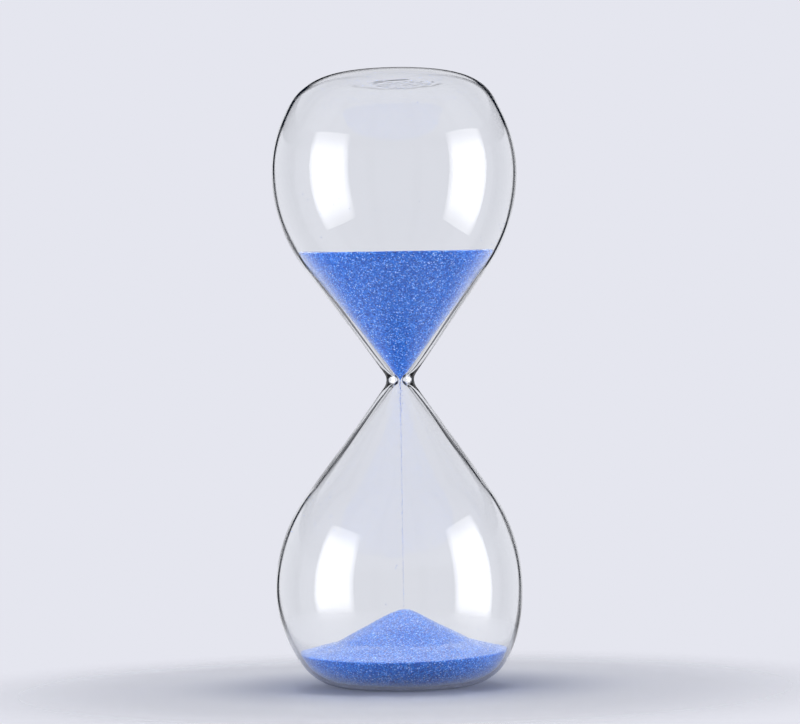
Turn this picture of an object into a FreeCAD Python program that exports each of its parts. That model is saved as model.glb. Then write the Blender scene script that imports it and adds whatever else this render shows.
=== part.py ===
import FreeCAD, Part
import math
import os
import Sketcher
from FreeCAD import Rotation, Vector

# A frameless blown-glass sand timer with its sand running.
#
# Frame: +Z up, millimetres, origin at the centre of the ring that the timer stands on.
# The two bulbs are one shape, mirrored about the neck plane at half the height. Both are drawn in
# "half coordinates": x is the radius and y the distance from the neck plane towards that bulb's end.
# A body for the upper half stands on the neck plane, and one for the lower half hangs under it.

# alias, value in millimetres or degrees, meaning
DIMENSIONS = [
    ("total_height", 200.0, "from one standing ring to the other"),
    ("bulb_diameter", 80.6, "outside, at a bulb's widest ring"),
    ("equator_rise", 68.3, "from the neck plane to the widest ring"),
    ("dome_radius", 45.0, "section radius from the widest ring towards the end"),
    ("ring_outer_radius", 19.0, "outer edge of the flat standing ring"),
    ("ring_inner_radius", 16.5, "inner edge of the flat standing ring"),
    ("dish_depth", 1.2, "how far the end's centre lies inside the standing ring"),
    ("seal_radius", 9.8, "the filling hole and the disc that closes it"),
    ("seal_tip_radius", 3.0, "the bead left where the disc was flame-sealed"),
    ("seal_tip_rise", 0.7, "how far that bead stands up"),
    ("wall", 1.15, "glass thickness of the domes and ends"),
    ("flank_angle", 35.8, "outer cone of a bulb, from the axis"),
    ("bore_angle", 37.9, "inner cone of a bulb, from the axis"),
    ("neck_diameter", 9.1, "outside, at the neck plane"),
    ("neck_fillet", 4.0, "section radius of the hollow round the neck"),
    ("throat_half", 7.0, "half the length of the thick throat piece"),
    ("orifice_diameter", 1.3, "the hole that meters the sand"),
    ("orifice_half", 0.4, "half the length of that hole"),
    ("sand_gap", 0.1, "mean gap between packed grains and the glass"),
    ("upper_level", 42.7, "upper sand's surface above the neck plane"),
    ("crater_radius", 11.0, "hollow over the orifice where the sand runs out"),
    ("crater_depth", 4.5, "depth of that hollow"),
    ("pile_rim_rise", 10.6, "pile's edge on the glass, above the table"),
    ("pile_skirt_radius", 29.0, "where the pile's skirt steepens to its edge"),
    ("pile_skirt_rise", 12.7, "height of that place above the table"),
    ("pile_foot_radius", 21.5, "foot of the pile's cone"),
    ("pile_foot_rise", 14.3, "height of that foot above the table"),
    ("pile_apex_rise", 25.1, "top of the pile above the table"),
    ("pile_apex_rounding", 8.5, "section radius of the pile's top"),
    ("stream_top_radius", 0.35, "falling column at the orifice"),
    ("stream_foot_radius", 0.25, "falling column at the pile"),
    ("grain_radius", 0.15, "one grain"),
    ("lane_radius", 0.75, "loose falling grains, from the axis"),
    ("first_drop", 1.6, "highest loose grain below the neck plane"),
    ("drop_step", 0.8, "from one loose grain down to the next"),
    ("cling_first", 3.0, "first clinging grain beyond the widest ring"),
    ("cling_step", 2.4, "from one clinging grain to the next"),
]
FALLING_GRAINS = 12
CLINGING_GRAINS = 6  # in each bulb
GOLDEN_ANGLE = 137.508  # degrees, spreads the grains evenly round the axis

START, END, CENTRE = 1, 2, 3  # a sketch edge's points
LEVEL, UPRIGHT = -1, -2  # the sketch's axes

# Lengths that several sections share, written once as formulas on the sheet.
HALF = "dims.total_height / 2"
BULB_RADIUS = "dims.bulb_diameter / 2"
SAND_INSET = "dims.wall + dims.sand_gap"
# where the straight flanks would reach the neck plane
FLANK_FOOT = "(dims.neck_diameter / 2 - dims.neck_fillet * (1 / cos(dims.flank_angle) - 1))"
BORE_FOOT = "(dims.orifice_diameter / 2 - dims.orifice_half * tan(dims.bore_angle))"
SAND_FOOT = f"({BORE_FOOT} - dims.sand_gap / cos(dims.bore_angle))"
# where they reach the joint between a bulb and the throat piece
FLANK_MOUTH = f"{FLANK_FOOT} + dims.throat_half * tan(dims.flank_angle)"
BORE_MOUTH = f"{BORE_FOOT} + dims.throat_half * tan(dims.bore_angle)"

doc = FreeCAD.newDocument("sand_timer")
sheet = doc.addObject("Spreadsheet::Sheet", "dims")
for row, (alias, amount, meaning) in enumerate(DIMENSIONS, start=1):
    sheet.set(f"A{row}", alias)
    sheet.set(f"B{row}", str(amount))
    sheet.set(f"C{row}", meaning)
    sheet.setAlias(f"B{row}", alias)
doc.recompute()

subparts = []


def number(formula):
    """What a formula on the sheet comes to."""
    return float(sheet.evalExpression(formula.replace("dims.", "")))


def add_body(label, upper):
    """A body on the neck plane: upper half coordinates run up, lower ones run down."""
    body = doc.addObject("PartDesign::Body", label)
    body.Label = label
    if not upper:
        body.Placement.Rotation = Rotation(Vector(1, 0, 0), 180)
    body.setExpression(".Placement.Base.z", HALF)
    subparts.append(body)
    return body


class Section:
    """A closed half section on a body's XZ plane, drawn edge by edge and held by constraints."""

    def __init__(self, body):
        self.body = body
        self.sketch = body.newObject("Sketcher::SketchObject", f"{body.Name}_section")
        plane = next(f for f in body.Origin.OriginFeatures if f.Role == "XZ_Plane")
        self.sketch.AttachmentSupport = [(plane, "")]
        self.sketch.MapMode = "FlatFace"

    def line(self, start, end):
        return self.sketch.addGeometry(Part.LineSegment(Vector(*start, 0), Vector(*end, 0)), False)

    def arc(self, centre, radius, first, last):
        """An arc drawn anticlockwise between two angles in radians."""
        circle = Part.Circle(Vector(*centre, 0), Vector(0, 0, 1), radius)
        return self.sketch.addGeometry(Part.ArcOfCircle(circle, first, last), False)

    def mark(self, x, y):
        """A construction point whose place is given by two formulas."""
        place = Vector(number(x), number(y), 0)
        point = self.sketch.addGeometry(Part.Point(place), True)
        self.place((point, START), x, y)
        return point

    def tie(self, kind, *where):
        self.sketch.addConstraint(Sketcher.Constraint(kind, *where))

    def join(self, kind, *edges):
        """Ties each edge's end to the next one's start."""
        for edge, following in zip(edges, edges[1:]):
            self.tie(kind, edge, END, following, START)

    def size(self, kind, where, formula, unit=""):
        """A dimension that follows the sheet. unit is ' * 1 deg' for an angle."""
        drawn = math.radians(number(formula)) if unit else number(formula)
        index = self.sketch.addConstraint(Sketcher.Constraint(kind, *where, drawn))
        self.sketch.setExpression(f"Constraints[{index}]", f"({formula}){unit}")

    def place(self, point, x=None, y=None):
        if x is not None:
            self.size("DistanceX", point, x)
        if y is not None:
            self.size("DistanceY", point, y)

    def revolve(self):
        doc.recompute()
        turned = self.body.newObject("PartDesign::Revolution", f"{self.body.Name}_turned")
        turned.Profile = self.sketch
        turned.ReferenceAxis = (self.sketch, ["V_Axis"])
        turned.Angle = 360
        self.sketch.Visibility = False


def flank(section, foot, angle, inset, top=None):
    """A bulb's straight flank and the shoulder arc that carries it on towards the widest ring.

    foot is the radius where the flank's line meets the neck plane. The arc ends at the widest
    ring, or at the height top where that is given. Returns the two edges.
    """
    reach = f"{BULB_RADIUS} - ({inset})"
    slope = math.radians(number(angle))
    start = number("dims.throat_half") if top is None else number("dims.orifice_half")
    rise = number("dims.equator_rise")
    radius = (number(foot) + rise * math.tan(slope) - number(reach)) / (1 / math.cos(slope) - 1)
    centre = (number(reach) - radius, rise)
    last = 0 if top is None else math.asin((number(top) - rise) / radius)
    tangent = (centre[0] + radius * math.cos(slope), rise - radius * math.sin(slope))
    line = section.line((number(foot) + start * math.tan(slope), start), tangent)
    arc = section.arc(centre, radius, -slope, last)
    section.size("Angle", (line,), f"90 - {angle}", " * 1 deg")
    section.join("Tangent", line, arc)
    section.size("DistanceY", (arc, CENTRE), "dims.equator_rise")
    if top is None:
        section.place((arc, END), reach, "dims.equator_rise")
    else:
        widest = section.mark(reach, "dims.equator_rise")
        section.tie("PointOnObject", widest, START, arc)
        section.size("DistanceY", (arc, END), top)
    return line, arc


def end_wall(section, inset, bottom=None):
    """A bulb's end, inset from its outer surface: dome, corner, standing ring and dish.

    The dome starts where a shoulder ends on the widest ring, or at the height bottom where that
    is given. Returns the four edges.
    """
    reach = number(f"{BULB_RADIUS} - ({inset})")
    rise = number("dims.equator_rise")
    end = number(f"{HALF} - ({inset})")
    radius = number(f"dims.dome_radius - ({inset})")
    centre = (reach - radius, rise)
    ring = number("dims.ring_outer_radius")
    # the corner's arc touches the dome from inside and lands on the ring's outer edge
    out, up = ring - centre[0], end - rise
    corner_radius = (radius**2 - up**2 - out**2) / (2 * (radius - up))
    corner_centre = (ring, end - corner_radius)
    turn = math.atan2(corner_centre[1] - rise, out)
    first = 0 if bottom is None else math.asin((number(bottom) - rise) / radius)
    inner = number("dims.ring_inner_radius")
    floor = (number("dims.seal_radius"), end - number("dims.dish_depth"))

    dome = section.arc(centre, radius, first, turn)
    corner = section.arc(corner_centre, corner_radius, turn, math.pi / 2)
    flat = section.line((ring, end), (inner, end))
    dish = section.line((inner, end), floor)

    section.join("Tangent", dome, corner, flat)
    section.join("Coincident", flat, dish)
    section.tie("Horizontal", flat)
    section.size("Radius", (dome,), f"dims.dome_radius - ({inset})")
    section.size("DistanceY", (dome, CENTRE), "dims.equator_rise")
    if bottom is not None:
        widest = section.mark(f"{BULB_RADIUS} - ({inset})", "dims.equator_rise")
        section.tie("PointOnObject", widest, START, dome)
        section.size("DistanceY", (dome, START), bottom)
    section.place((flat, START), "dims.ring_outer_radius", f"{HALF} - ({inset})")
    section.place((flat, END), "dims.ring_inner_radius")
    section.place((dish, END), "dims.seal_radius", f"{HALF} - dims.dish_depth - ({inset})")
    return dome, corner, flat, dish


def close_on_axis(section, last, first):
    """Runs from an edge's end along the axis to another edge's start. Both lie on the axis."""
    geometry = section.sketch.Geometry
    axis = section.line(geometry[last].EndPoint[:2], geometry[first].StartPoint[:2])
    section.join("Coincident", last, axis, first)
    section.tie("Vertical", axis)
    section.tie("PointOnObject", axis, START, UPRIGHT)


def make_bulb(label, upper, filled_through):
    """A blown bulb from the throat piece to its end. filled_through leaves the filling hole."""
    section = Section(add_body(label, upper))
    outside, shoulder = flank(section, FLANK_FOOT, "dims.flank_angle", "0")
    dome, _, _, dish = end_wall(section, "0")
    inside, inner_shoulder = flank(section, BORE_FOOT, "dims.bore_angle", "dims.wall")
    inner_dome, _, _, inner_dish = end_wall(section, "dims.wall")

    section.join("Coincident", shoulder, dome)
    section.join("Coincident", inner_shoulder, inner_dome)
    geometry = section.sketch.Geometry
    mouth = section.line(geometry[inside].StartPoint[:2], geometry[outside].StartPoint[:2])
    section.join("Coincident", mouth, outside)
    section.tie("Coincident", inside, START, mouth, START)
    section.tie("Horizontal", mouth)
    section.place((mouth, START), BORE_MOUTH, "dims.throat_half")
    section.place((mouth, END), FLANK_MOUTH)

    rim, inner_rim = geometry[dish].EndPoint[:2], geometry[inner_dish].EndPoint[:2]
    if filled_through:
        hole = section.line(rim, inner_rim)
        section.join("Coincident", dish, hole)
        section.tie("Coincident", hole, END, inner_dish, END)
    else:
        floor = section.line((0, rim[1]), rim)
        inner_floor = section.line(inner_rim, (0, inner_rim[1]))
        section.tie("Coincident", dish, END, floor, END)
        section.join("Coincident", inner_dish, inner_floor)
        for level in (floor, inner_floor):
            section.tie("Horizontal", level)
        close_on_axis(section, inner_floor, floor)
    section.revolve()


def make_throat():
    """The thick flame-worked throat between the bulbs, with the orifice that meters the sand."""
    section = Section(add_body("neck_throat", True))
    slope, half = math.radians(number("dims.flank_angle")), number("dims.throat_half")
    fillet, neck = number("dims.neck_fillet"), number("dims.neck_diameter / 2")
    touch = (neck + fillet * (1 - math.cos(slope)), fillet * math.sin(slope))
    outer, mouth = number(FLANK_MOUTH), number(BORE_MOUTH)
    bore, bore_half = number("dims.orifice_diameter / 2"), number("dims.orifice_half")

    upper_flank = section.line((outer, half), touch)
    hollow = section.arc((neck + fillet, 0), fillet, math.pi - slope, math.pi + slope)
    lower_flank = section.line((touch[0], -touch[1]), (outer, -half))
    lower_mouth = section.line((outer, -half), (mouth, -half))
    lower_cone = section.line((mouth, -half), (bore, -bore_half))
    orifice = section.line((bore, -bore_half), (bore, bore_half))
    upper_cone = section.line((bore, bore_half), (mouth, half))
    upper_mouth = section.line((mouth, half), (outer, half))

    section.join("Tangent", upper_flank, hollow, lower_flank)
    section.join("Coincident", lower_flank, lower_mouth, lower_cone, orifice, upper_cone)
    section.join("Coincident", upper_cone, upper_mouth, upper_flank)
    for level in (lower_mouth, upper_mouth):
        section.tie("Horizontal", level)
    section.tie("Vertical", orifice)
    section.tie("PointOnObject", hollow, CENTRE, LEVEL)
    section.size("Radius", (hollow,), "dims.neck_fillet")
    section.size("DistanceX", (hollow, CENTRE), "dims.neck_diameter / 2 + dims.neck_fillet")
    section.size("Angle", (lower_flank,), "dims.flank_angle - 90", " * 1 deg")
    section.place((upper_mouth, END), FLANK_MOUTH, "dims.throat_half")
    section.place((lower_mouth, START), y="-dims.throat_half")
    section.place((upper_mouth, START), BORE_MOUTH)
    section.place((lower_mouth, END), BORE_MOUTH)
    section.place((orifice, START), "dims.orifice_diameter / 2", "-dims.orifice_half")
    section.place((orifice, END), y="dims.orifice_half")
    section.revolve()


def make_filling_seal():
    """The glass disc fused into the filling hole, with the bead left by the flame."""
    section = Section(add_body("filling_seal", True))
    rim, tip = number("dims.seal_radius"), number("dims.seal_tip_radius")
    face = number(f"{HALF} - dims.dish_depth")
    rise = number("dims.seal_tip_rise")
    back = face - number("dims.wall")
    bead_radius = (tip**2 + rise**2) / (2 * rise)
    bead_centre = (0, face + rise - bead_radius)
    edge_angle = math.atan2(face - bead_centre[1], tip)

    bead = section.arc(bead_centre, bead_radius, edge_angle, math.pi / 2)
    axis = section.line((0, face + rise), (0, back))
    underside = section.line((0, back), (rim, back))
    edge = section.line((rim, back), (rim, face))
    land = section.line((rim, face), (tip, face))

    section.join("Coincident", bead, axis, underside, edge, land, bead)
    section.tie("Vertical", axis)
    section.tie("Vertical", edge)
    section.tie("Horizontal", underside)
    section.tie("Horizontal", land)
    section.tie("PointOnObject", bead, CENTRE, UPRIGHT)
    section.tie("PointOnObject", axis, START, UPRIGHT)
    section.place((axis, START), y=f"{HALF} - dims.dish_depth + dims.seal_tip_rise")
    section.place((axis, END), y=f"{HALF} - dims.dish_depth - dims.wall")
    section.place((land, START), "dims.seal_radius", f"{HALF} - dims.dish_depth")
    section.place((land, END), "dims.seal_tip_radius")
    section.revolve()


def make_upper_sand():
    """The sand still to run: it fills the cone and the orifice, and is hollowed over the middle."""
    section = Section(add_body("upper_sand", True))
    level, dip = number("dims.upper_level"), number("dims.crater_depth")
    crater = number("dims.crater_radius")
    neck, low = number("dims.orifice_diameter / 2 - dims.sand_gap"), number("dims.orifice_half")

    side, shoulder = flank(section, SAND_FOOT, "dims.bore_angle", SAND_INSET, "dims.upper_level")
    geometry = section.sketch.Geometry
    surface = section.line(geometry[shoulder].EndPoint[:2], (crater, level))
    hollow = section.line((crater, level), (0, level - dip))
    axis = section.line((0, level - dip), (0, -low))
    tip = section.line((0, -low), (neck, -low))
    plug = section.line((neck, -low), (neck, geometry[side].StartPoint[1]))

    section.join("Coincident", shoulder, surface, hollow, axis, tip, plug, side)
    section.tie("Horizontal", surface)
    section.tie("Vertical", axis)
    section.tie("PointOnObject", axis, START, UPRIGHT)
    section.tie("Horizontal", tip)
    section.tie("Vertical", plug)
    section.place((surface, END), "dims.crater_radius")
    section.place((axis, START), y="dims.upper_level - dims.crater_depth")
    section.place((axis, END), y="-dims.orifice_half")
    section.place((plug, START), "dims.orifice_diameter / 2 - dims.sand_gap")
    # the sand's flank reaches the plug's radius here
    section.place((plug, END), y="dims.orifice_half + dims.sand_gap * tan(dims.bore_angle / 2)")
    section.revolve()


def make_sand_pile():
    """The sand that has run: it lies on the lower bulb's floor and rises to a cone."""
    section = Section(add_body("sand_pile", False))
    rim_height = f"{HALF} - dims.pile_rim_rise"
    dome, _, _, dish = end_wall(section, SAND_INSET, rim_height)
    rounding = number("dims.pile_apex_rounding")
    apex = number(f"{HALF} - dims.pile_apex_rise")
    foot = (number("dims.pile_foot_radius"), number(f"{HALF} - dims.pile_foot_rise"))
    # the slope of the line from the foot that touches the rounded top
    away = (foot[0], foot[1] - apex - rounding)
    slope = math.atan2(away[1], away[0]) + math.asin(rounding / math.hypot(*away))
    skirt = (number("dims.pile_skirt_radius"), number(f"{HALF} - dims.pile_skirt_rise"))
    touch = (rounding * math.sin(slope), apex + rounding * (1 - math.cos(slope)))
    geometry = section.sketch.Geometry
    bottom = geometry[dish].EndPoint[:2]

    floor = section.line(bottom, (0, bottom[1]))
    axis = section.line((0, bottom[1]), (0, apex))
    summit = section.arc((0, apex + rounding), rounding, -math.pi / 2, slope - math.pi / 2)
    cone = section.line(touch, foot)
    apron = section.line(foot, skirt)
    edge = section.line(skirt, geometry[dome].StartPoint[:2])

    section.join("Coincident", dish, floor, axis, summit)
    section.join("Tangent", summit, cone)
    section.join("Coincident", cone, apron, edge, dome)
    section.tie("Horizontal", floor)
    section.tie("Vertical", axis)
    section.tie("PointOnObject", axis, START, UPRIGHT)
    section.tie("PointOnObject", summit, CENTRE, UPRIGHT)
    section.size("Radius", (summit,), "dims.pile_apex_rounding")
    section.place((axis, END), y=f"{HALF} - dims.pile_apex_rise")
    section.place((apron, START), "dims.pile_foot_radius", f"{HALF} - dims.pile_foot_rise")
    section.place((apron, END), "dims.pile_skirt_radius", f"{HALF} - dims.pile_skirt_rise")
    section.revolve()


def make_stream():
    """The steady column of falling sand, from the orifice to the top of the pile."""
    stream = doc.addObject("Part::Cone", "sand_stream")
    stream.setExpression("Radius1", "dims.stream_foot_radius")
    stream.setExpression("Radius2", "dims.stream_top_radius")
    stream.setExpression("Height", f"{HALF} - dims.orifice_half - dims.pile_apex_rise")
    stream.setExpression(".Placement.Base.z", "dims.pile_apex_rise")
    subparts.append(stream)


def add_grains(label, places):
    """Grains as one group of separate balls. places gives formulas for each centre."""
    balls = []
    for index, (x, y, z) in enumerate(places, start=1):
        ball = doc.addObject("Part::Sphere", f"{label}_{index}")
        ball.setExpression("Radius", "dims.grain_radius")
        ball.setExpression(".Placement.Base.x", x)
        ball.setExpression(".Placement.Base.y", y)
        ball.setExpression(".Placement.Base.z", z)
        balls.append(ball)
    group = doc.addObject("Part::Compound", label)
    group.Links = balls
    subparts.append(group)


def make_falling_grains():
    """Loose grains on their way down beside the column."""
    places = []
    for index in range(FALLING_GRAINS):
        angle = f"{GOLDEN_ANGLE * index:.3f}"
        height = f"{HALF} - dims.first_drop - {index} * dims.drop_step"
        places.append((f"dims.lane_radius * cos({angle})", f"dims.lane_radius * sin({angle})", height))
    add_grains("falling_grains", places)


def make_clinging_grains():
    """Stray grains that static holds on the inside of both domes, clear of the sand."""
    inset = f"({SAND_INSET} + dims.grain_radius)"
    places = []
    for index in range(2 * CLINGING_GRAINS):
        way = 1 if index % 2 else -1  # up in the upper bulb, down in the lower one
        angle = f"{GOLDEN_ANGLE * index:.3f}"
        beyond = f"(dims.cling_first + {index // 2} * dims.cling_step)"
        reach = (f"({BULB_RADIUS} - dims.dome_radius"
                 f" + sqrt(pow(dims.dome_radius - {inset}; 2) - pow({beyond}; 2)))")
        height = f"{HALF} + {way} * (dims.equator_rise + {beyond})"
        places.append((f"{reach} * cos({angle})", f"{reach} * sin({angle})", height))
    add_grains("clinging_grains", places)


make_bulb("upper_bulb", upper=True, filled_through=True)
make_bulb("lower_bulb", upper=False, filled_through=False)
make_throat()
make_filling_seal()
make_upper_sand()
make_sand_pile()
make_stream()
make_falling_grains()
make_clinging_grains()
doc.recompute()

for item in doc.Objects:
    if "Invalid" in item.State or "Error" in item.State:
        raise RuntimeError(f"{item.Label} didn't recompute: {item.State}")
for subpart in subparts:
    if subpart.Shape.isNull() or not subpart.Shape.isValid():
        raise RuntimeError(f"{subpart.Label} has no valid shape")

os.makedirs("parts", exist_ok=True)
for subpart in subparts:
    subpart.Shape.exportStep(f"parts/{subpart.Label}.step")
    box = subpart.Shape.BoundBox
    print(f"{subpart.Label}: {len(subpart.Shape.Solids)} solids, {subpart.Shape.Volume / 1000:.4f} cm3, "
          f"radius {box.XMax:.2f}, z {box.ZMin:.2f} to {box.ZMax:.2f}")
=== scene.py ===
"""Looks of a frameless blown-glass hourglass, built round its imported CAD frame.

The glass and the sand are each modelled whole and ride on the CAD bodies.
Lengths are in millimetres until mesh_object() turns them into metres; the floor, the lights and the
camera are in metres.
"""

import math
import random

import bpy
from mathutils import Euler, Matrix, Vector, noise


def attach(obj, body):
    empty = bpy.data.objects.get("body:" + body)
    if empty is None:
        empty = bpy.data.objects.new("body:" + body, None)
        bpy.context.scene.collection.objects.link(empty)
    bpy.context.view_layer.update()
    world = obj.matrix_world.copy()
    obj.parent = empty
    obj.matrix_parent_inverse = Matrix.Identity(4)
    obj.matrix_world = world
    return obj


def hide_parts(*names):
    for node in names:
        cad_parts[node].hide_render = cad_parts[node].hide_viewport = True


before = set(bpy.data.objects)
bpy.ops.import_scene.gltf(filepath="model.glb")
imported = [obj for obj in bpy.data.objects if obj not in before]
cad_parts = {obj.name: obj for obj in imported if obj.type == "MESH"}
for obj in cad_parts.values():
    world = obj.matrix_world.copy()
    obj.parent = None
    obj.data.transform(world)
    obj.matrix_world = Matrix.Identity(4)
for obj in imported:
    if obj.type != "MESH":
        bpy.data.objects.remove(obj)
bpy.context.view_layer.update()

MM = 0.001
random.seed(7)

# ---------------------------------------------------------------- the glass envelope

HALF_HEIGHT = 100.0
REACH = 40.3
EQUATOR_RISE = 68.3
DOME_RADIUS = 45.0
RING_OUTER = 19.0
RING_INNER = 16.5
DISH_DEPTH = 1.2
SEAL_RADIUS = 9.8
SEAL_TIP_RADIUS = 3.0
WALL = 1.15
FLANK_ANGLE = 35.8
BORE_ANGLE = 37.9
NECK_RADIUS = 4.55
NECK_FILLET = 4.0
ORIFICE_RADIUS = 0.65
ORIFICE_HALF = 0.4

GLASS_STEP = 1.2
GLASS_SIDES = 160
POLISH_ROUNDS = 12

# A blown bulb's centre wanders a little from the straight line through the neck:
# (height, drift along X, drift along Y).
DRIFT = [
    (0.0, 0.0, 0.0),
    (31.7, -1.4, 0.4),
    (100.0, 0.0, 0.0),
    (165.0, -1.0, -0.4),
    (190.0, -1.0, -0.3),
    (200.0, -0.3, 0.0),
]

# Marks of the flame on the seal. They fade out this far outside its disc and below the top.
SEAL_CENTRE = (3.0, 0.0)
SEAL_MARGIN = 4.0
SEAL_DEPTH = 3.0
SEAL_LUMP = 0.03
SEAL_LUMP_SIZES = (1.9, 0.8)
SEAL_EDGE_SHARPNESS = 3.0
SEAL_RIDGE = 0.06
SEAL_RIDGE_WIDTH = 0.8
# How uneven the ridge's height and its path are: mean, variation, length of one wave, noise plane.
SEAL_RIDGE_HEIGHT = (0.65, 0.8, 3.0, 5)
SEAL_RIDGE_PATH = (-0.4, 0.7, 6.0, 9)

# Turned marks of the jaws at the neck: depth, reach along the axis, and the noise's two sizes.
NECK_MARK = 0.14
NECK_MARK_REACH = 5.0
NECK_MARK_SIZES = (2.0, 0.8)

# Waves in the wall's inside, which fade in over a distance from the neck.
WALL_WAVE = 0.05
WALL_WAVE_LENGTH = 14.0
WALL_WAVE_START = 20.0


def line(start, end, step=GLASS_STEP):
    """Points from start up to end, without end itself."""
    count = max(1, round(math.dist(start, end) / step))
    return [
        (start[0] + (end[0] - start[0]) * i / count, start[1] + (end[1] - start[1]) * i / count)
        for i in range(count)
    ]


def arc(centre, radius, start, end, step=GLASS_STEP):
    """Points on an arc between two angles in degrees, without its last point."""
    count = max(2, round(abs(math.radians(end - start)) * radius / step))
    angles = [math.radians(start + (end - start) * i / count) for i in range(count)]
    return [(centre[0] + radius * math.cos(a), centre[1] + radius * math.sin(a)) for a in angles]


def flank_and_shoulder(foot, slope, inset):
    """The straight flank from its foot, and the shoulder that rounds it to the widest ring."""
    angle = math.radians(slope)
    reach = REACH - inset
    swell = foot[0] + (EQUATOR_RISE - foot[1]) * math.tan(angle) - reach
    radius = swell / (1 / math.cos(angle) - 1)
    centre = (reach - radius, EQUATOR_RISE)
    join = (centre[0] + radius * math.cos(angle), centre[1] - radius * math.sin(angle))
    return line(foot, join) + arc(centre, radius, -slope, 0)


def dome_and_corner(inset):
    """The dome over the widest ring and the corner down into the flat standing ring."""
    up = HALF_HEIGHT - EQUATOR_RISE
    out = RING_OUTER - (REACH - DOME_RADIUS)
    corner = (DOME_RADIUS**2 - up**2 - out**2) / (2 * (DOME_RADIUS - up))
    join = math.degrees(math.atan2(up - corner, out))
    dome = arc((REACH - DOME_RADIUS, EQUATOR_RISE), DOME_RADIUS - inset, 0, join)
    return dome + arc((RING_OUTER, HALF_HEIGHT - corner), corner - inset, join, 90)


def end_wall(inset):
    """The standing ring and the dish inside it, flame-polished at its corners."""
    fine = GLASS_STEP / 3
    top = HALF_HEIGHT - inset
    floor = top - DISH_DEPTH
    wall = line((RING_OUTER, top), (RING_INNER, top), fine)
    wall += line((RING_INNER, top), (SEAL_RADIUS, floor), fine)
    wall += line((SEAL_RADIUS, floor), (SEAL_TIP_RADIUS, floor), fine)
    wall += line((SEAL_TIP_RADIUS, floor), (0, floor), fine)
    return soften(wall + [(0, floor)])


def soften(points):
    """Rounds the corners of a run of points, keeping its two ends."""
    for _ in range(POLISH_ROUNDS):
        inner = [
            ((a[0] + 2 * b[0] + c[0]) / 4, (a[1] + 2 * b[1] + c[1]) / 4)
            for a, b, c in zip(points, points[1:], points[2:])
        ]
        points = [points[0]] + inner + [points[-1]]
    return points


def outer_half():
    """The outside of one bulb: (radius, distance from the neck plane), from neck to end."""
    angle = math.radians(FLANK_ANGLE)
    centre = NECK_RADIUS + NECK_FILLET
    foot = (centre - NECK_FILLET * math.cos(angle), NECK_FILLET * math.sin(angle))
    fillet = arc((centre, 0), NECK_FILLET, 180, 180 - FLANK_ANGLE, GLASS_STEP / 2)
    return fillet + flank_and_shoulder(foot, FLANK_ANGLE, 0) + dome_and_corner(0) + end_wall(0)


def inner_half(inset=WALL):
    """The inside of one bulb: (radius, distance from the neck plane), from neck to end."""
    mouth = ORIFICE_RADIUS + WALL - inset
    bore = line((mouth, 0), (mouth, ORIFICE_HALF), GLASS_STEP / 4)
    bulb = flank_and_shoulder((mouth, ORIFICE_HALF), BORE_ANGLE, inset) + dome_and_corner(inset)
    return bore + bulb + end_wall(inset)


def both_halves(half):
    """One profile from the bottom pole to the top pole: (radius, height)."""
    down = [(r, HALF_HEIGHT - d) for r, d in reversed(half[1:])]
    return down + [(r, HALF_HEIGHT + d) for r, d in half]


def drift(z):
    """How far the glass has wandered from the straight axis at a height."""
    z = min(max(z, DRIFT[0][0]), DRIFT[-1][0])
    for low, high in zip(DRIFT, DRIFT[1:]):
        if z <= high[0]:
            t = (z - low[0]) / (high[0] - low[0])
            t = t * t * (3 - 2 * t)
            return Vector((low[1] + (high[1] - low[1]) * t, low[2] + (high[2] - low[2]) * t, 0))


def lathe(profile, sides, outward=True):
    """Vertices and faces of a profile turned about Z; its first and last points are poles."""
    verts = [Vector((0, 0, profile[0][1]))]
    for r, z in profile[1:-1]:
        for k in range(sides):
            a = math.tau * k / sides
            verts.append(Vector((r * math.cos(a), r * math.sin(a), z)))
    verts.append(Vector((0, 0, profile[-1][1])))
    last = len(verts) - 1
    rows = len(profile) - 2
    faces = []
    for k in range(sides):
        n = (k + 1) % sides
        faces.append((0, 1 + n, 1 + k))
        faces.append((last, last - sides + k, last - sides + n))
        for row in range(rows - 1):
            a, b = 1 + row * sides, 1 + (row + 1) * sides
            faces.append((a + k, a + n, b + n, b + k))
    if not outward:
        faces = [tuple(reversed(f)) for f in faces]
    return verts, faces


def mesh_object(name, verts, faces, smooth=True):
    """A mesh object in metres from vertices in millimetres."""
    mesh = bpy.data.meshes.new(name)
    mesh.from_pydata([v * MM for v in verts], [], faces)
    mesh.polygons.foreach_set("use_smooth", [smooth] * len(mesh.polygons))
    mesh.update()
    obj = bpy.data.objects.new(name, mesh)
    bpy.context.scene.collection.objects.link(obj)
    return obj


def uneven(p, mean, variation, length, plane):
    """A value that wanders about its mean across the seal."""
    return mean + variation * noise.noise(Vector((p.x / length, p.y / length, plane)))


def flame_sealed(p):
    """Lumps and a ragged ridge where the filling hole was melted shut, on the top only."""
    r = math.hypot(p.x - SEAL_CENTRE[0], p.y - SEAL_CENTRE[1])
    if p.z < 2 * HALF_HEIGHT - SEAL_DEPTH or r > SEAL_RADIUS + SEAL_MARGIN:
        return 0
    coarse, fine = SEAL_LUMP_SIZES
    lump = SEAL_LUMP * noise.noise(p / coarse) + SEAL_LUMP / 2 * noise.noise(p / fine)
    away = r - SEAL_RADIUS - uneven(p, *SEAL_RIDGE_PATH)
    ridge = SEAL_RIDGE * uneven(p, *SEAL_RIDGE_HEIGHT) * math.exp(-((away / SEAL_RIDGE_WIDTH) ** 2))
    inside = 1 / (1 + math.exp((r - SEAL_RADIUS) * SEAL_EDGE_SHARPNESS))
    return lump * inside + ridge


def tool_marked(p):
    """Faint turned marks left by the jaws that drew the neck in."""
    near = math.exp(-(((p.z - HALF_HEIGHT) / NECK_MARK_REACH) ** 2))
    across, along = NECK_MARK_SIZES
    return NECK_MARK * near * noise.noise(Vector((p.x / across, p.y / across, p.z / along)))


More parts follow.
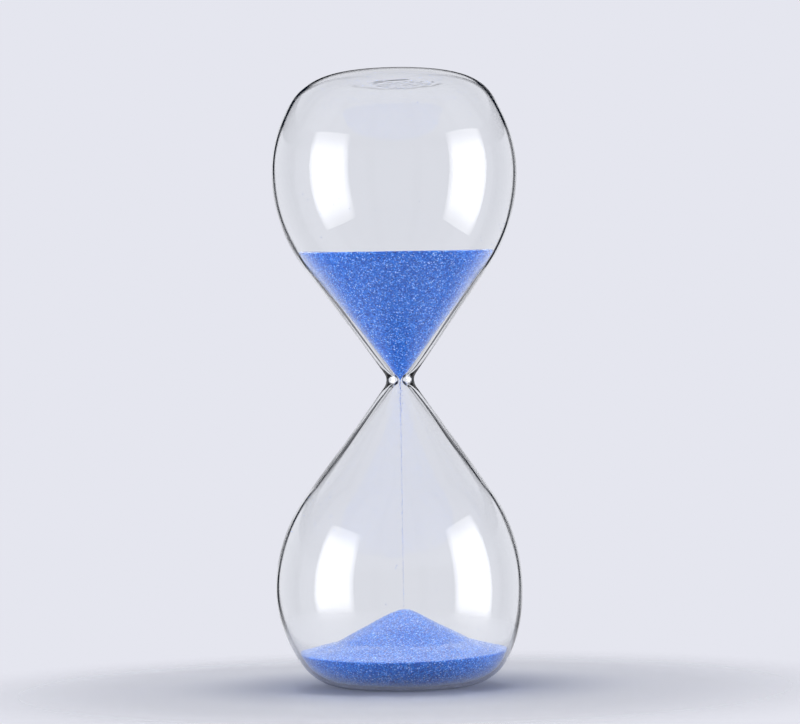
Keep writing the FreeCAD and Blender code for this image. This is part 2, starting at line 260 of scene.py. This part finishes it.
def outward_from_axis(p):
    """The level direction from the axis through a point."""
    return Vector((p.x, p.y, 0)).normalized()


def glass_envelope():
    """The whole envelope: outer skin and inner skin, with the wall between them solid glass."""
    outer, outer_faces = lathe(both_halves(outer_half()), GLASS_SIDES)
    inner, inner_faces = lathe(both_halves(inner_half()), GLASS_SIDES, outward=False)
    for p in outer:
        lift = flame_sealed(p)
        p += outward_from_axis(p) * tool_marked(p) + drift(p.z)
        p.z += lift
    for p in inner:
        away = min(1, abs(p.z - HALF_HEIGHT) / WALL_WAVE_START)
        wave = WALL_WAVE * away * noise.noise(p / WALL_WAVE_LENGTH)
        p += outward_from_axis(p) * wave + drift(p.z)
    base = len(outer)
    inner_faces = [tuple(i + base for i in f) for f in inner_faces]
    return mesh_object("glass_envelope", outer + inner, outer_faces + inner_faces)


# ---------------------------------------------------------------- the sand

SAND_CLEARANCE = 0.28
WALL_PROFILE = inner_half(WALL + SAND_CLEARANCE)

SAND_SIDES = 128
SAND_STEP = 1.0
SAND_LEVEL_STEP = 1.5
SAND_VOXEL = 0.36
SAND_ROUGHNESS = 0.03
# The roughness has two scales: share, size.
SAND_BUMPS = [(1.0, 0.45), (0.6, 2.2)]

UPPER_LEVEL = 142.5
UPPER_WALL_MARGIN = 1.0
SURFACE_TILT = 5.0
TILT_DEPTH = 3.0
RIM_WIDTH = 0.05
CRATER_RADIUS = 11.0
CRATER_DEPTH = 4.5

PILE_RIM = 10.2
PILE_WALL_MARGIN = 0.5
PILE_SKIRT = (28.0, 12.0)
PILE_FOOT = (21.5, 14.3)
PILE_APEX = 25.1
PILE_APEX_ROUNDING = 2.975
PILE_CONE_RUN = 18.7
PILE_CONE_STEPS = 24
# The pile's surface rises to both sides, leans, and waves a little.
PILE_SIDE_LIFT = 1.5
PILE_LEAN = 0.008
PILE_WAVE = 0.3
PILE_WAVE_LENGTH = 8
PILE_WAVE_PLANE = 3
PILE_WAVE_START = 2
PILE_TOLERANCE = 0.01

GRAIN_SPREAD = (0.10, 0.17)
GRAIN_SHARE = 0.05
GRAIN_SINK = 0.4
GRAIN_STRETCH = (0.75, 1.2)
GRAIN_CHIPPING = (0.85, 1.1)

STREAM_GRAINS = 900
STREAM_TOP = 101.0
STREAM_FOOT = 25.3
STREAM_SPREAD = (0.20, 0.15)
STREAM_THINNING = 1.6
STREAM_SIZE = (0.05, 0.08)
LOOSE_SIZE = (0.11, 0.16)

# Clusters of grains on the inside of the glass: azimuth, height, spread of azimuth, count.
CLUSTERS = [
    (-48, 127.0, 20, 9),
    (-52, 24.0, 14, 6),
    (-118, 152.0, 20, 6),
    (20, 148.0, 24, 10),
    (-75, 188.0, 30, 3),
    (95, 165.0, 60, 10),
    (200, 60.0, 60, 10),
    (-100, 40.0, 30, 6),
]
CLUSTER_HEIGHT_SPREAD = 4
CLINGING_SIZE = (0.08, 0.17)
CLINGING_INSET = 0.2


def wall_radius(height_from_neck):
    """The sand's outer radius where it meets the glass, at a distance from the neck plane."""
    for low, high in zip(WALL_PROFILE, WALL_PROFILE[1:]):
        if low[1] <= height_from_neck <= high[1]:
            t = (height_from_neck - low[1]) / max(1e-9, high[1] - low[1])
            return low[0] + (high[0] - low[0]) * t
    return WALL_PROFILE[-1][0]


def granular(name, profile, bend):
    """A bank of sand: a turned profile bent by a function, remeshed evenly, then roughened."""
    verts, faces = lathe(profile, SAND_SIDES)
    for p in verts:
        bend(p)
        reach = wall_radius(abs(p.z - HALF_HEIGHT))
        p += drift(p.z) * min(1, math.hypot(p.x, p.y) / max(reach, 0.1))
    form = mesh_object(name + "_form", verts, faces)
    remesh = form.modifiers.new("even", "REMESH")
    remesh.mode = "VOXEL"
    remesh.voxel_size = SAND_VOXEL * MM
    evaluated = form.evaluated_get(bpy.context.evaluated_depsgraph_get())
    even = bpy.data.meshes.new_from_object(evaluated)
    bpy.data.objects.remove(form)
    even.name = name
    bank = bpy.data.objects.new(name, even)
    bpy.context.scene.collection.objects.link(bank)
    normals = [v.normal.copy() for v in even.vertices]
    for vertex, normal in zip(even.vertices, normals):
        bump = sum(share * noise.noise(vertex.co / (size * MM)) for share, size in SAND_BUMPS)
        vertex.co += normal * bump * SAND_ROUGHNESS * MM
    even.polygons.foreach_set("use_smooth", [True] * len(even.polygons))
    even.update()
    return bank


def upper_bank():
    """Sand resting in the upper bulb, with a shallow crater over the throat and a tilted top."""
    level = UPPER_LEVEL - HALF_HEIGHT
    rim = wall_radius(level)
    floor = (0, level - CRATER_DEPTH)
    profile = [(0, 0.0)] + [(r, d) for r, d in WALL_PROFILE if d < level - UPPER_WALL_MARGIN and r > 0]
    profile += line((rim, level), (CRATER_RADIUS, level), SAND_LEVEL_STEP)
    profile += line((CRATER_RADIUS, level), floor, SAND_STEP) + [floor]
    profile = [(r, d + HALF_HEIGHT) for r, d in profile]
    slope = math.tan(math.radians(SURFACE_TILT))

    def tilt(p):
        if p.z < UPPER_LEVEL - CRATER_DEPTH - TILT_DEPTH:
            return
        p.z += p.y * slope
        r = math.hypot(p.x, p.y)
        room = wall_radius(p.z - HALF_HEIGHT)
        if r > room or r > rim - RIM_WIDTH:
            p.x *= room / r
            p.y *= room / r

    return granular("upper_sand_bank", profile, tilt)


def pile_bank():
    """Sand filling the foot of the lower bulb and rising to the cone under the stream."""
    depth = HALF_HEIGHT - PILE_RIM
    wall = [(r, HALF_HEIGHT - d) for r, d in reversed(WALL_PROFILE) if d > depth + PILE_WALL_MARGIN]
    rim = (wall_radius(depth), PILE_RIM)
    profile = wall + line(rim, PILE_SKIRT, SAND_STEP) + line(PILE_SKIRT, PILE_FOOT, SAND_STEP)
    for i in range(PILE_CONE_STEPS + 1):
        r = PILE_FOOT[0] * (1 - i / PILE_CONE_STEPS)
        cone = math.hypot(r, PILE_APEX_ROUNDING) - PILE_APEX_ROUNDING
        profile.append((r, PILE_APEX - cone * (PILE_APEX - PILE_FOOT[1]) / PILE_CONE_RUN))

    def heap(p):
        if p.z < PILE_RIM - PILE_TOLERANCE:
            return
        wave = noise.noise(Vector((p.x / PILE_WAVE_LENGTH, p.y / PILE_WAVE_LENGTH, PILE_WAVE_PLANE)))
        lift = PILE_SIDE_LIFT * (p.x / rim[0]) ** 2 + PILE_LEAN * p.x
        lift += PILE_WAVE * wave * min(1, (p.z - PILE_RIM) / PILE_WAVE_START)
        room = wall_radius(depth - lift) / rim[0]
        p.x *= room
        p.y *= room
        p.z += lift

    return granular("sand_pile_bank", profile, heap)


def unit_chip():
    """The vertices and faces of one unit grain: an icosahedron."""
    g = (1 + math.sqrt(5)) / 2
    verts = []
    for a, b in ((1, g), (-1, g), (1, -g), (-1, -g)):
        verts.extend([Vector((0, a, b)), Vector((a, b, 0)), Vector((b, 0, a))])
    for v in verts:
        v.normalize()
    edge = min((a - verts[0]).length for a in verts[1:]) * 1.01
    faces = []
    for i in range(len(verts)):
        for j in range(i + 1, len(verts)):
            for k in range(j + 1, len(verts)):
                a, b, c = verts[i], verts[j], verts[k]
                if max((a - b).length, (b - c).length, (a - c).length) < edge:
                    outward = (b - a).cross(c - a).dot(a + b + c) > 0
                    faces.append((i, j, k) if outward else (i, k, j))
    return verts, faces


CHIP_VERTS, CHIP_FACES = unit_chip()


def grains(name, spots, sizes):
    """Angular grains of sand, each turned and stretched at random, centred on the spots."""
    verts, faces = [], []
    for spot in spots:
        size = random.uniform(*sizes)
        stretch = [size * random.uniform(*GRAIN_STRETCH) for _ in range(3)]
        turn = Euler([random.uniform(0, math.tau) for _ in range(3)]).to_matrix()
        base = len(verts)
        for v in CHIP_VERTS:
            v = Vector((v.x * stretch[0], v.y * stretch[1], v.z * stretch[2]))
            verts.append(spot + turn @ (v * random.uniform(*GRAIN_CHIPPING)))
        faces.extend(tuple(i + base for i in f) for f in CHIP_FACES)
    return mesh_object(name, verts, faces, smooth=False)


def surface_grains(name, bank):
    """Loose grains half sunk in a bank's skin."""
    skin = bank.data.vertices
    picked = random.sample(range(len(skin)), int(len(skin) * GRAIN_SHARE))
    spots = [
        skin[i].co / MM - skin[i].normal * GRAIN_SPREAD[0] * GRAIN_SINK for i in sorted(picked)
    ]
    return grains(name, spots, GRAIN_SPREAD)


def stream_spots():
    """Where the falling column's grains are: dense at the throat, thinning as they speed up."""
    spots = []
    for _ in range(STREAM_GRAINS):
        fall = random.random() ** STREAM_THINNING
        z = STREAM_TOP + (STREAM_FOOT - STREAM_TOP) * fall
        spread = STREAM_SPREAD[0] + (STREAM_SPREAD[1] - STREAM_SPREAD[0]) * fall
        a = random.uniform(0, math.tau)
        r = abs(random.gauss(0, spread))
        spots.append(Vector((r * math.cos(a), r * math.sin(a), z)))
    return spots


def clinging_spots():
    """Grains stuck to the inside of the glass, in a few loose clusters."""
    spots = []
    for azimuth, height, spread, count in CLUSTERS:
        for _ in range(count):
            a = math.radians(azimuth + random.uniform(-spread, spread))
            z = height + random.gauss(0, CLUSTER_HEIGHT_SPREAD)
            r = wall_radius(abs(z - HALF_HEIGHT)) + SAND_CLEARANCE - CLINGING_INSET
            spots.append(Vector((r * math.cos(a), r * math.sin(a), z)) + drift(z))
    return spots


def loose_spots():
    """The centre of each loose grain of the moving CAD node, one per solid."""
    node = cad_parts["falling_grains"].data
    parent = list(range(len(node.vertices)))

    def root(i):
        while parent[i] != i:
            parent[i] = parent[parent[i]]
            i = parent[i]
        return i

    where = {}
    for v in node.vertices:
        key = tuple(round(c / MM, 3) for c in v.co)
        parent[root(v.index)] = root(where.setdefault(key, v.index))
    for edge in node.edges:
        a, b = edge.vertices
        parent[root(a)] = root(b)
    groups = {}
    for v in node.vertices:
        groups.setdefault(root(v.index), []).append(v.co / MM)
    centres = [sum(g, Vector()) / len(g) for g in groups.values()]
    return sorted(centres, key=lambda c: c.z)


# ---------------------------------------------------------------- materials

GLASS_COLOUR = (0.985, 0.99, 1.0, 1)
GLASS_IOR = 1.47
GLASS_SHADOW = (0.95, 0.955, 0.97, 1)

# From the darkest grains to the few left clear: share of grains below, colour.
SAND_SHADES = [
    (0.00, (0.001, 0.020, 0.16, 1)),
    (0.08, (0.002, 0.044, 0.30, 1)),
    (0.25, (0.003, 0.074, 0.43, 1)),
    (0.55, (0.004, 0.112, 0.56, 1)),
    (0.78, (0.016, 0.185, 0.71, 1)),
    (0.92, (0.100, 0.330, 0.86, 1)),
    (1.00, (0.450, 0.640, 0.96, 1)),
]
SAND_IOR = 1.54
SAND_SPECULAR = 0.32
SAND_SHEEN = 0.45
SAND_SHEEN_ROUGHNESS = 0.4
SAND_SHEEN_TINT = (0.9, 0.95, 1.0, 1)
SAND_GLOSS = (0.12, 0.30)
GRAINS_PER_METRE = 3300.0
FACET_TILT = 0.22


def new_material(name):
    """An empty node material and its node tree."""
    material = bpy.data.materials.new(name)
    material.use_nodes = True
    material.node_tree.nodes.clear()
    return material, material.node_tree


def add(tree, kind, inputs=None, **settings):
    """A new shader node with its settings and the constant values of its inputs."""
    node = tree.nodes.new("ShaderNode" + kind)
    for name, value in settings.items():
        setattr(node, name, value)
    for socket, value in (inputs or {}).items():
        node.inputs[socket].default_value = value
    return node


def smooth_ramp(tree, value, low, high, start=0.0):
    """An eased rise from start at low to 1 at high."""
    limits = {"From Min": low, "From Max": high, "To Min": start}
    node = add(tree, "MapRange", limits, interpolation_type="SMOOTHSTEP")
    tree.links.new(value, node.inputs["Value"])
    return node.outputs["Result"]


def blend(tree, factor, first, second):
    """A colour between two constants, by a factor from another node."""
    node = add(tree, "Mix", data_type="RGBA")
    node.inputs["A"].default_value = first
    node.inputs["B"].default_value = second
    tree.links.new(factor, node.inputs["Factor"])
    return node.outputs["Result"]


def choose(tree, factor, first, second):
    """One shader or the other, by a factor from another node."""
    node = add(tree, "MixShader")
    for socket, value in zip(node.inputs, (factor, first, second)):
        tree.links.new(value, socket)
    return node.outputs[0]


def clear_glass():
    """Colourless borosilicate glass; light sampling passes straight through it to the sand."""
    material, tree = new_material("clear_glass")
    glass = add(tree, "BsdfPrincipled", {
        "Base Color": GLASS_COLOUR,
        "Roughness": 0.0,
        "IOR": GLASS_IOR,
        "Transmission Weight": 1.0,
    })
    through = add(tree, "BsdfTransparent", {"Color": GLASS_SHADOW})
    path = add(tree, "LightPath")
    surface = choose(tree, path.outputs["Is Shadow Ray"], glass.outputs[0], through.outputs[0])
    out = add(tree, "OutputMaterial")
    tree.links.new(surface, out.inputs["Surface"])
    return material


def blue_sand():
    """Dyed quartz sand: every grain its own blue and facet, a few dark, a few left clear."""
    material, tree = new_material("blue_sand")
    links = tree.links
    sand = add(tree, "BsdfPrincipled", {
        "IOR": SAND_IOR,
        "Specular IOR Level": SAND_SPECULAR,
        "Sheen Weight": SAND_SHEEN,
        "Sheen Roughness": SAND_SHEEN_ROUGHNESS,
        "Sheen Tint": SAND_SHEEN_TINT,
    })
    where = add(tree, "TexCoord")
    cells = add(tree, "TexVoronoi", {"Scale": GRAINS_PER_METRE})
    links.new(where.outputs["Object"], cells.inputs["Vector"])
    each = add(tree, "SeparateColor")
    links.new(cells.outputs["Color"], each.inputs["Color"])

    shade = add(tree, "ValToRGB")
    stops = shade.color_ramp.elements
    for stop, (position, colour) in zip(stops, (SAND_SHADES[0], SAND_SHADES[-1])):
        stop.position = position
        stop.color = colour
    for position, colour in SAND_SHADES[1:-1]:
        stops.new(position).color = colour
    links.new(each.outputs["Red"], shade.inputs["Fac"])
    links.new(shade.outputs["Color"], sand.inputs["Base Color"])

    gloss = add(tree, "MapRange", {"To Min": SAND_GLOSS[0], "To Max": SAND_GLOSS[1]})
    links.new(each.outputs["Green"], gloss.inputs["Value"])
    links.new(gloss.outputs["Result"], sand.inputs["Roughness"])

    # Each grain's facet leans its own way: the surface's normal plus a random tilt.
    chance = add(tree, "TexWhiteNoise")
    links.new(cells.outputs["Position"], chance.inputs["Vector"])
    facet = add(tree, "VectorMath", {1: (0.5, 0.5, 0.5)}, operation="SUBTRACT")
    links.new(chance.outputs["Color"], facet.inputs[0])
    lean = add(tree, "VectorMath", {1: (FACET_TILT,) * 3}, operation="MULTIPLY_ADD")
    links.new(facet.outputs[0], lean.inputs[0])
    surface = add(tree, "NewGeometry")
    links.new(surface.outputs["Normal"], lean.inputs[2])
    unit = add(tree, "VectorMath", operation="NORMALIZE")
    links.new(lean.outputs[0], unit.inputs[0])
    links.new(unit.outputs[0], sand.inputs["Normal"])

    out = add(tree, "OutputMaterial")
    links.new(sand.outputs[0], out.inputs["Surface"])
    return material


# ---------------------------------------------------------------- pieces

glass = clear_glass()
sand = blue_sand()


def finish_piece(piece, body, slot, material, *stands_for):
    """Gives a piece its material and the body it moves with, and hides the CAD nodes it replaces."""
    piece.data.materials.clear()
    piece.data.materials.append(material)
    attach(piece, body)
    if stands_for:
        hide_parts(*stands_for)


# One envelope stands for the four CAD pieces of glass, because the real ones are fused.
finish_piece(
    glass_envelope(), "glass", "clear_glass", glass,
    "upper_bulb", "lower_bulb", "neck_throat", "filling_seal",
)
upper = upper_bank()
pile = pile_bank()
finish_piece(upper, "glass", "blue_sand", sand, "upper_sand")
finish_piece(pile, "glass", "blue_sand", sand, "sand_pile")
finish_piece(surface_grains("upper_surface_grains", upper), "glass", "blue_sand", sand)
finish_piece(surface_grains("pile_surface_grains", pile), "glass", "blue_sand", sand)
finish_piece(
    grains("stream_grains", stream_spots(), STREAM_SIZE), "glass", "blue_sand", sand,
    "sand_stream",
)
finish_piece(
    grains("stray_grains", clinging_spots(), CLINGING_SIZE), "glass", "blue_sand", sand,
    "clinging_grains",
)
finish_piece(
    grains("loose_falling_grains", loose_spots(), LOOSE_SIZE), "grains", "blue_sand", sand,
    "falling_grains",
)

# ---------------------------------------------------------------- floor, light and camera

BACKDROP = (0.783, 0.791, 0.863, 1)
SURROUND = (0.79, 0.80, 0.85, 1)
GAP_SHADE = (0.0, 0.003, 0.01, 1)
FILL = (0.18, 0.19, 0.22, 1)

# The floor is painted darker and bluer near the timer, over FLOOR_PAINTED_SHADOW_REACH: a painted
# shadow and a painted reflection of the blue sand, for the patch that the photo has there. It fades
# out over FLOOR_FADE. Both are distances from the axis.
FLOOR_COLOUR = (0.36, 0.37, 0.41, 1)
FLOOR_PAINTED_SHADOW = (0.19, 0.21, 0.29, 1)
FLOOR_PAINTED_SHADOW_REACH = (0.02, 0.085)
FLOOR_FADE = (0.07, 0.17)
FLOOR_RADIUS = 0.24
FLOOR_RINGS = 12
FLOOR_SIDES = 96
FLOOR_GLOW = 0.30
FLOOR_ROUGHNESS = 0.6
FLOOR_SPECULAR = 0.2

# Gaps between the studio's screens, as (start, end) of an eased edge along a ray's direction.
SCREENS = 8.0
SCREEN_EDGE = (-0.90, -0.75)
HIGH_GAP = ((0.26, 0.28), (0.42, 0.44))
SIDE_GAP = ((-0.15, -0.05), (0.72, 0.80))
SCREEN_TOP = (0.55, 0.70)
GRAZING_EDGE = (0.80, 0.85)
FRONT_EDGE = (0.20, 0.90)
SAND_FRONT_EDGE = (-0.95, 0.10)
FRONT_SHADE = 0.32
# More refractions than this, and a ray has come through a hollow bulb and not only its wall.
HOLLOW_DEPTH = 2.5

# Each softbox: azimuth from the camera's side, distance, width, and the heights of its two ends.
SOFTBOXES = [
    (-62.0, 0.57, 0.425, -0.20, 0.46),
    (72.0, 0.577, 0.445, -0.20, 0.465),
]
# Each softbox dims towards its edges: direction, level at the edge, and how far in it is full.
SOFTBOX_FALLOFF = [("X", 0.40, 0.16), ("Y", 0.35, 0.30)]
SOFTBOX_RADIANCE = 9.0
KEY_RADIANCE = 5.2
# A light over and behind the object that only the sand and the floor take: size, place, radiance.
TOP_KEY = (0.34, (0.0, 0.25, 0.45), 2.0)

CAMERA_DISTANCE = 0.8183
CAMERA_HEIGHT = 0.06985
CAMERA_LENS = 112.3
CAMERA_SENSOR = 36
CAMERA_PITCH = 2.52
CAMERA_ROLL = 0.9


def floor_disc():
    """A flat disc of rings about the origin, facing up."""
    verts = [Vector((0, 0, 0))]
    for ring in range(1, FLOOR_RINGS + 1):
        r = FLOOR_RADIUS / MM * ring / FLOOR_RINGS
        for k in range(FLOOR_SIDES):
            a = math.tau * k / FLOOR_SIDES
            verts.append(Vector((r * math.cos(a), r * math.sin(a), 0)))
    faces = []
    for k in range(FLOOR_SIDES):
        n = (k + 1) % FLOOR_SIDES
        faces.append((0, 1 + k, 1 + n))
        for row in range(FLOOR_RINGS - 1):
            a, b = 1 + row * FLOOR_SIDES, 1 + (row + 1) * FLOOR_SIDES
            faces.append((a + k, b + k, b + n, a + n))
    return mesh_object("floor", verts, faces)


def pale_floor():
    """A pale disc to stand on, which fades into the backdrop round its edge."""
    floor = floor_disc()
    material, tree = new_material("pale_floor")
    links = tree.links
    paint = add(tree, "BsdfPrincipled", {
        "Roughness": FLOOR_ROUGHNESS,
        "Specular IOR Level": FLOOR_SPECULAR,
        "Emission Strength": FLOOR_GLOW,
    })
    clear = add(tree, "BsdfTransparent")
    where = add(tree, "TexCoord")
    reach = add(tree, "VectorMath", operation="LENGTH")
    links.new(where.outputs["Object"], reach.inputs[0])
    shade = smooth_ramp(tree, reach.outputs["Value"], *FLOOR_PAINTED_SHADOW_REACH)
    fade = smooth_ramp(tree, reach.outputs["Value"], *FLOOR_FADE)
    # Painted shadow and painted reflection of the blue sand: near the timer the floor's colour and its
    # glow are made darker and bluer.
    links.new(blend(tree, shade, FLOOR_PAINTED_SHADOW, FLOOR_COLOUR), paint.inputs["Base Color"])
    links.new(blend(tree, shade, FLOOR_PAINTED_SHADOW, BACKDROP), paint.inputs["Emission Color"])
    out = add(tree, "OutputMaterial")
    links.new(choose(tree, fade, paint.outputs[0], clear.outputs[0]), out.inputs["Surface"])
    floor.data.materials.append(material)


def studio_world():
    """A plain backdrop to the camera, a fill to matt surfaces, and to the glass a studio of screens.

    The dark gaps between the screens draw the thin outline of the glass. How often a ray has been
    mirrored and refracted tells one at the rim or in the solid neck, which sees them, from one
    that comes straight through a hollow bulb, which doesn't.
    """
    world = bpy.data.worlds.new("studio")
    bpy.context.scene.world = world
    world.use_nodes = True
    tree = world.node_tree
    tree.nodes.clear()

    def maths(operation, first, second=None):
        node = add(tree, "Math", operation=operation)
        for socket, value in zip(node.inputs, (first, second)):
            if isinstance(value, (int, float)):
                socket.default_value = value
            elif value is not None:
                tree.links.new(value, socket)
        return node.outputs[0]

    def either(first, second):
        return maths("MAXIMUM", first, second)

    def both(first, second):
        return maths("MULTIPLY", first, second)

    def outside(value, low_edge, high_edge):
        below = maths("SUBTRACT", 1.0, smooth_ramp(tree, value, *low_edge))
        return either(below, smooth_ramp(tree, value, *high_edge))

    where = add(tree, "TexCoord")
    ray = add(tree, "SeparateXYZ")
    tree.links.new(where.outputs["Generated"], ray.inputs[0])
    x, y, z = ray.outputs["X"], ray.outputs["Y"], ray.outputs["Z"]
    path = add(tree, "LightPath").outputs
    reflected = maths("GREATER_THAN", path["Glossy Depth"], 0.5)
    refracted = maths("GREATER_THAN", path["Transmission Depth"], 0.5)
    hollow = maths("GREATER_THAN", path["Transmission Depth"], HOLLOW_DEPTH)

    # Rays mirrored inside the wall at the rim see a ring of narrow gaps just above the level.
    grazing = either(refracted, smooth_ramp(tree, y, *GRAZING_EDGE))
    at_rim = both(maths("SUBTRACT", grazing, hollow), reflected)
    turn = maths("COSINE", both(maths("ARCTAN2", x, y), SCREENS))
    rim = both(smooth_ramp(tree, turn, *SCREEN_EDGE), outside(z, *HIGH_GAP))
    rim = either(rim, maths("SUBTRACT", 1.0, at_rim))

    # Rays bent by the solid neck, and not mirrored, see the wide gaps at the sides.
    steep = smooth_ramp(tree, maths("ABSOLUTE", z), *SCREEN_TOP)
    neck = either(either(outside(y, *SIDE_GAP), steep), either(reflected, hollow))

    # Mirrored rays find the camera's side darker, but less so when they come from the sand.
    front = either(smooth_ramp(tree, y, *FRONT_EDGE), FRONT_SHADE)
    front = either(front, both(hollow, smooth_ramp(tree, y, *SAND_FRONT_EDGE)))
    front = either(front, maths("SUBTRACT", 1.0, reflected))

    pale = both(both(rim, neck), front)
    screens = add(tree, "Background")
    tree.links.new(blend(tree, pale, GAP_SHADE, SURROUND), screens.inputs["Color"])
    fill = add(tree, "Background", {"Color": FILL})
    backdrop = add(tree, "Background", {"Color": BACKDROP})
    mirrored = either(path["Is Glossy Ray"], path["Is Transmission Ray"])
    mirrored = both(mirrored, maths("LESS_THAN", path["Diffuse Depth"], 0.5))
    studio = choose(tree, mirrored, fill.outputs[0], screens.outputs[0])
    seen = choose(tree, path["Is Camera Ray"], studio, backdrop.outputs[0])
    out = add(tree, "OutputWorld")
    tree.links.new(seen, out.inputs["Surface"])


def area_lamp(name, light, place):
    """An area light in the scene, which the camera doesn't see."""
    lamp = bpy.data.objects.new(name, light)
    bpy.context.scene.collection.objects.link(lamp)
    lamp.location = place
    lamp.visible_camera = False
    return lamp


def soft_edges(light):
    """Dims a panel towards its edges, in each direction in turn."""
    light.use_nodes = True
    tree = light.node_tree
    surface = add(tree, "NewGeometry")
    panel = add(tree, "SeparateXYZ")
    tree.links.new(surface.outputs["Parametric"], panel.inputs[0])
    levels = add(tree, "Math", operation="MULTIPLY")
    for socket, (side, edge_level, bend) in zip(levels.inputs, SOFTBOX_FALLOFF):
        from_edge = add(tree, "Math", {1: 0.5}, operation="PINGPONG")
        tree.links.new(panel.outputs[side], from_edge.inputs[0])
        tree.links.new(smooth_ramp(tree, from_edge.outputs[0], 0.0, bend, edge_level), socket)
    tree.links.new(levels.outputs[0], tree.nodes["Emission"].inputs["Strength"])


def softbox(name, radiance, azimuth, distance, width, low, high):
    """A tall soft light standing beside the camera and facing the object."""
    light = bpy.data.lights.new(name, "AREA")
    light.shape = "RECTANGLE"
    light.size = width
    light.size_y = high - low
    light.energy = radiance * math.pi * width * (high - low)
    soft_edges(light)
    a = math.radians(azimuth)
    lamp = area_lamp(name, light, (distance * math.sin(a), -distance * math.cos(a), (low + high) / 2))
    lamp.rotation_euler = (math.radians(90), 0, a)
    lamp.visible_transmission = False
    return lamp


def mirror_only(lamp):
    """Shows a lamp in reflections only: it lights no matt surface."""
    lamp.visible_diffuse = False


def key_only(lamp):
    """Lights matt surfaces only: it is sampled, but no ray runs into it or mirrors it."""
    lamp.data.cycles.use_multiple_importance_sampling = False
    lamp.visible_glossy = False


def top_key():
    """The soft light above and behind."""
    size, place, radiance = TOP_KEY
    light = bpy.data.lights.new("top_key", "AREA")
    light.size = size
    light.energy = radiance * math.pi * size * size
    light.cycles.use_multiple_importance_sampling = False
    lamp = area_lamp("top_key", light, place)
    lamp.rotation_euler = Vector(place).to_track_quat("Z", "Y").to_euler()


def photo_camera():
    """The camera low in front, tipped up a little and rolled a little."""
    data = bpy.data.cameras.new("camera")
    data.lens = CAMERA_LENS
    data.sensor_width = CAMERA_SENSOR
    camera = bpy.data.objects.new("camera", data)
    bpy.context.scene.collection.objects.link(camera)
    tip = Matrix.Rotation(math.radians(90 + CAMERA_PITCH), 4, "X")
    roll = Matrix.Rotation(math.radians(-CAMERA_ROLL), 4, "Z")
    place = Matrix.Translation((0, -CAMERA_DISTANCE, CAMERA_HEIGHT))
    camera.matrix_world = place @ tip @ roll
    bpy.context.scene.camera = camera


pale_floor()
studio_world()
for number, place in enumerate(SOFTBOXES):
    mirror_only(softbox(f"softbox_{number}", SOFTBOX_RADIANCE, *place))
    key_only(softbox(f"key_{number}", KEY_RADIANCE, *place))
top_key()
photo_camera()
bpy.context.scene.view_settings.view_transform = "Standard"
